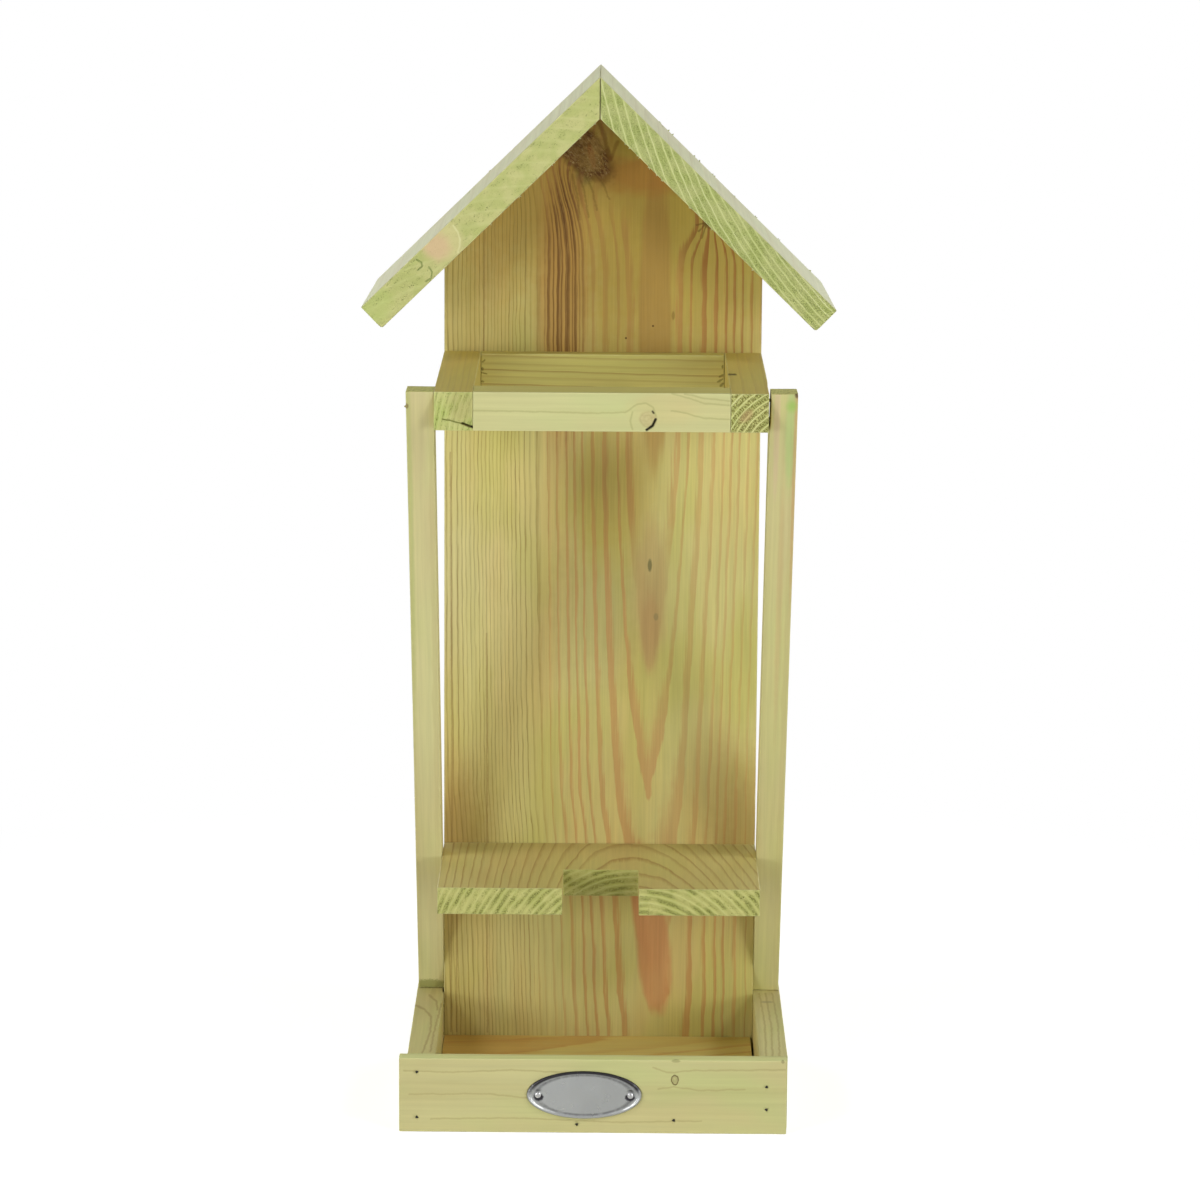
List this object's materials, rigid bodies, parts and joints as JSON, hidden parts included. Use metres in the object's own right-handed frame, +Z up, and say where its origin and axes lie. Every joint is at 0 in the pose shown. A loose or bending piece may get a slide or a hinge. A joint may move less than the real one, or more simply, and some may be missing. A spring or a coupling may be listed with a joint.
{
  "type": "bird table",
  "caption": "Small wooden bird table that feeds from an upturned bottle: tall back board, mitred gable roof, square collar on leaning struts, notched shelf and seed tray.",
  "frame": {"origin": "the middle of the whole outline, on the surface that the tray stands on", "axes": "+Z up, +X to the right as seen from the front, +Y from the tray front to the back board"},
  "size_m": [0.1756, 0.1256, 0.3861],
  "materials": {
    "pine_board": "planed softwood, pale olive with orange and red-brown grain",
    "pine_end_grain": "sawn end grain, green from its preservative",
    "pine_batten": "planed softwood battens, pale yellow-green",
    "pine_tray": "planed softwood, olive brown",
    "plate": "bright pressed sheet",
    "nail": "dull steel wire"
  },
  "bodies": {
    "root": {"back_board": "pine_board", "roof_board_left": "pine_end_grain", "roof_board_right": "pine_end_grain", "collar_arm_left": "pine_end_grain", "collar_arm_right": "pine_end_grain", "collar_front_rail": "pine_batten", "collar_back_rail": "pine_board", "strut_left": "pine_batten", "strut_right": "pine_batten", "bottle_shelf": "pine_end_grain", "tray_floor": "pine_tray", "tray_side_left": "pine_tray", "tray_side_right": "pine_tray", "tray_front": "pine_batten", "oval_plate": "plate", "plate_pin_left": "plate", "plate_pin_right": "plate", "roof_nail_left_1": "nail", "roof_nail_left_2": "nail", "roof_nail_right_1": "nail", "roof_nail_right_2": "nail", "arm_nail_left": "nail", "arm_nail_right": "nail", "back_rail_nail_left": "nail", "back_rail_nail_right": "nail", "strut_top_nail_left_1": "nail", "strut_top_nail_left_2": "nail", "strut_top_nail_right_1": "nail", "strut_top_nail_right_2": "nail", "strut_foot_nail_left_1": "nail", "strut_foot_nail_left_2": "nail", "strut_foot_nail_right_1": "nail", "strut_foot_nail_right_2": "nail", "shelf_nail_left": "nail", "shelf_nail_right": "nail", "floor_side_nail_left_1": "nail", "floor_side_nail_left_2": "nail", "floor_side_nail_right_1": "nail", "floor_side_nail_right_2": "nail", "board_side_nail_left_1": "nail", "board_side_nail_left_2": "nail", "board_side_nail_right_1": "nail", "board_side_nail_right_2": "nail", "floor_back_nail_left": "nail", "floor_back_nail_right": "nail", "front_nail_left_1": "nail", "front_nail_left_2": "nail", "front_nail_right_1": "nail", "front_nail_right_2": "nail", "front_nail_floor_1": "nail", "front_nail_floor_2": "nail"}
  },
  "joints": []
}
